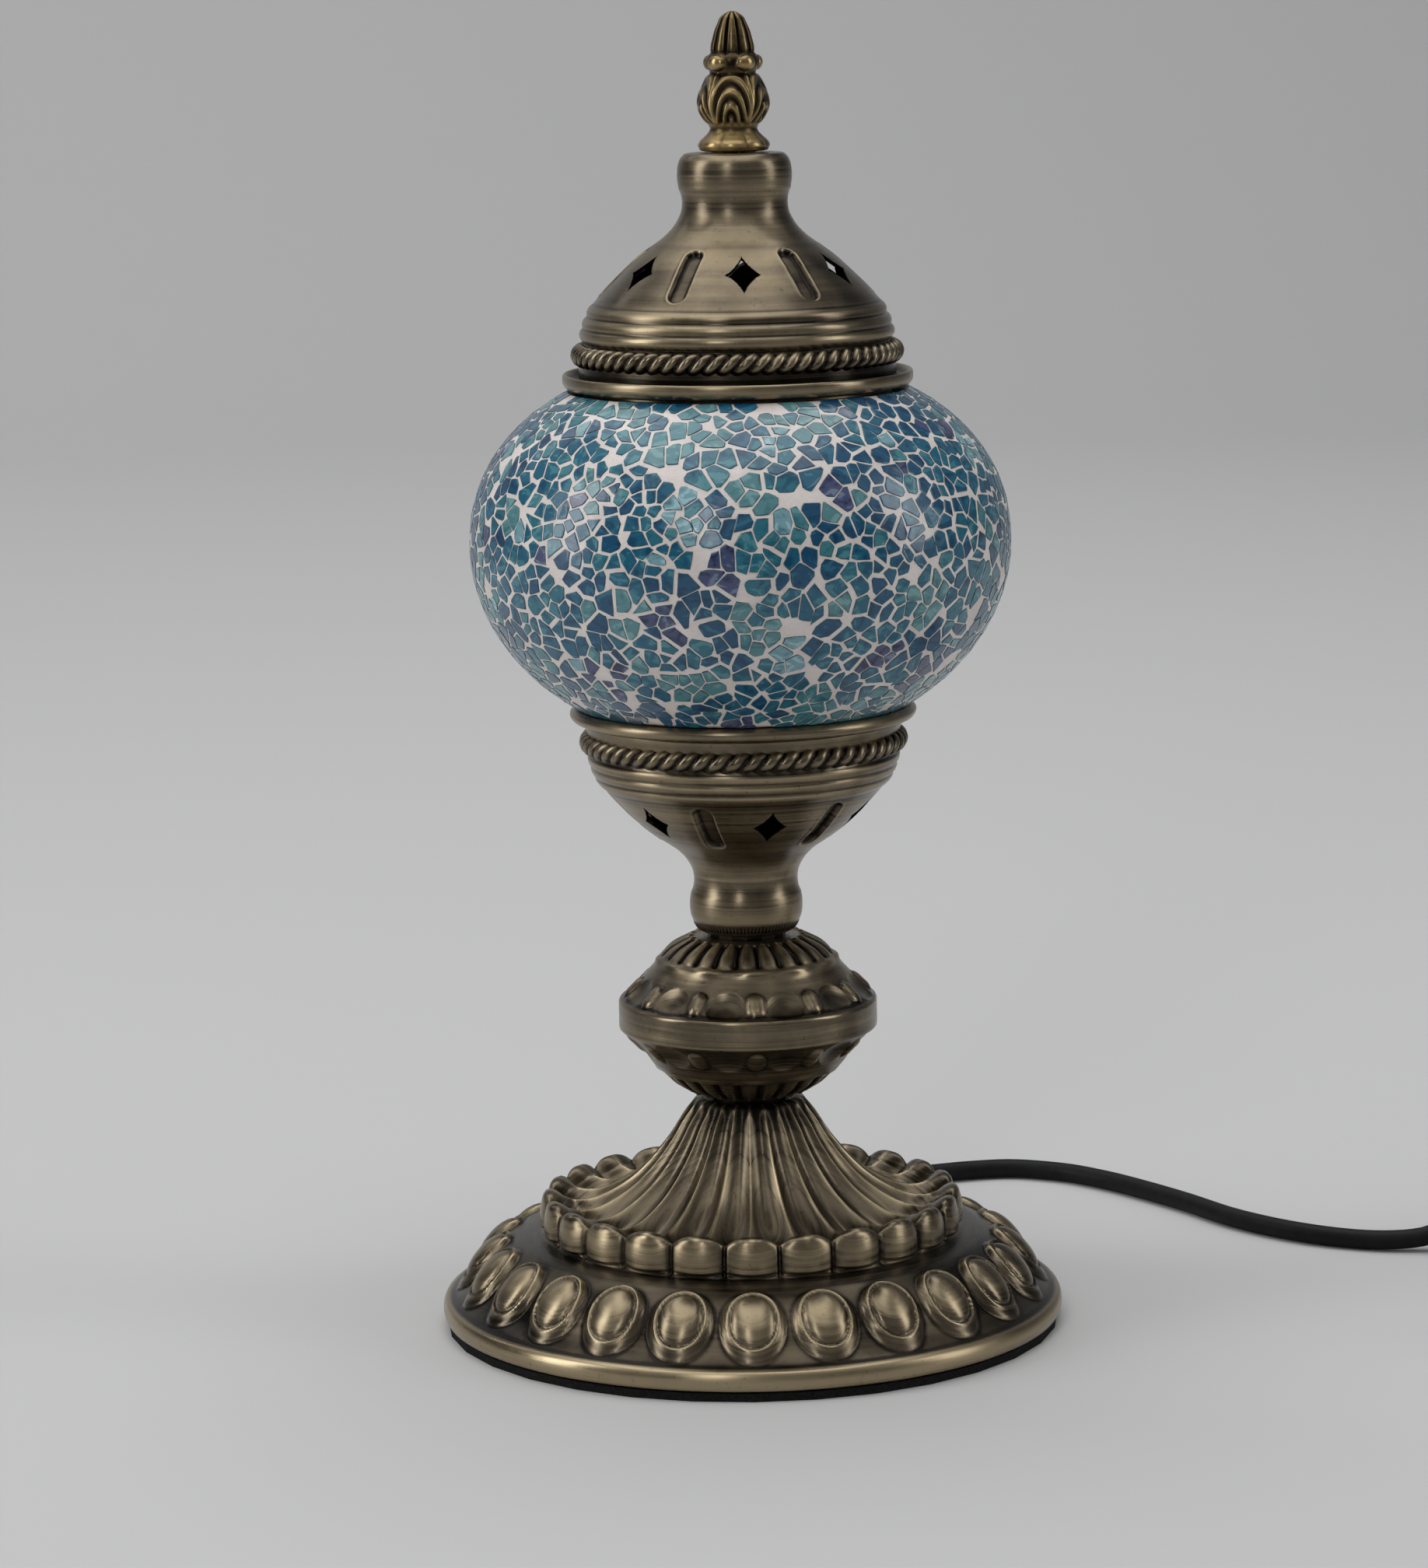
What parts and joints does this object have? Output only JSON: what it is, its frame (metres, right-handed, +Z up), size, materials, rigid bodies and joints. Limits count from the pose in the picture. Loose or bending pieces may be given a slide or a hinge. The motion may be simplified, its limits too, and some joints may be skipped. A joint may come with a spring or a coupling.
{
  "type": "mosaic glass table lamp",
  "caption": "Small table lamp: a globe of glass mosaic between pierced brass cup and lift-off cap, on a fluted baluster stand with cord, rocker switch and plug.",
  "frame": {"origin": "centre of the base pad underside, on the table", "axes": "+Z up along the stem, -Y is the front, +X is to the right seen from the front"},
  "size_m": [0.3819, 0.2153, 0.319],
  "materials": {
    "antique_brass": "antiqued, brushed by turning",
    "golden_brass": "antiqued cast brass",
    "bright_brass": "bright",
    "steel": "zinc plated",
    "cast_iron": "rough",
    "black_foam": "matte foam",
    "black_plastic": "moulded, satin",
    "black_cord": "satin PVC",
    "phenolic": "moulded, satin",
    "nickel": "bright",
    "globe_glass": "clear blown glass",
    "bulb_glass": "clear",
    "mosaic": "glass chips in pale grout, glossy",
    "tungsten": "bare wire"
  },
  "bodies": {
    "lamp": {"base_pad": "black_foam", "base_weight": "cast_iron", "base_shell": "antique_brass", "cord_strain_relief": "black_plastic", "stem_washer": "steel", "stem_nut": "steel", "stem_tube": "steel", "lower_spacer": "antique_brass", "baluster_lower": "antique_brass", "baluster_upper": "antique_brass", "upper_spacer": "antique_brass", "holder_cup": "antique_brass", "cup_washer": "steel", "cup_nut": "steel", "lampholder_entry_cap": "phenolic", "lampholder_sleeve": "phenolic", "lampholder_insulator": "phenolic", "lampholder_contact": "bright_brass", "lampholder_screw_shell": "bright_brass", "lower_gallery_ring": "antique_brass", "globe_glass": "globe_glass", "globe_mosaic": "mosaic", "inner_cord": "black_cord", "lead_to_switch": "black_cord", "lead_to_coil": "black_cord", "plug_tail": "black_cord", "cord_coil": "black_cord", "coil_tie": "black_plastic", "switch_base": "black_plastic", "switch_cover": "black_plastic", "switch_contacts": "bright_brass", "switch_screw_1": "steel", "switch_screw_2": "steel", "plug_body": "black_plastic", "plug_pin_1": "nickel", "plug_pin_2": "nickel"},
    "cap": {"upper_gallery_ring": "antique_brass", "top_cap": "antique_brass", "finial_spacer": "golden_brass", "finial": "golden_brass", "finial_stud": "steel", "finial_washer": "steel", "finial_nut": "steel"},
    "bulb_foot": {"bulb_contact": "nickel", "bulb_insulator": "phenolic"},
    "bulb": {"bulb_screw_cap": "nickel", "bulb_glass": "bulb_glass", "bulb_filament": "tungsten"},
    "rocker": {"switch_rocker": "black_plastic"}
  },
  "joints": [
    {"name": "cap_lift", "type": "slide", "parent": "lamp", "child": "cap", "axis": [0, 0, 1], "range_m": [0, 0.1]},
    {"name": "bulb_rise", "type": "slide", "parent": "lamp", "child": "bulb_foot", "axis": [0, 0, 1], "range_m": [0, 0.0142]},
    {"name": "bulb_turn", "type": "hinge", "parent": "bulb_foot", "child": "bulb", "pos_m": [0, 0, 0.16], "axis": [0, 0, 1], "range_deg": [0, 1800]},
    {"name": "switch_press", "type": "hinge", "parent": "lamp", "child": "rocker", "pos_m": [0.222, 0.0525, 0.013], "axis": [0, 1, 0], "range_deg": [0, 16]}
  ],
  "couplings": [
    {"joint": "bulb_rise", "follows": "bulb_turn", "m_per_rad": 0.00044882}
  ]
}
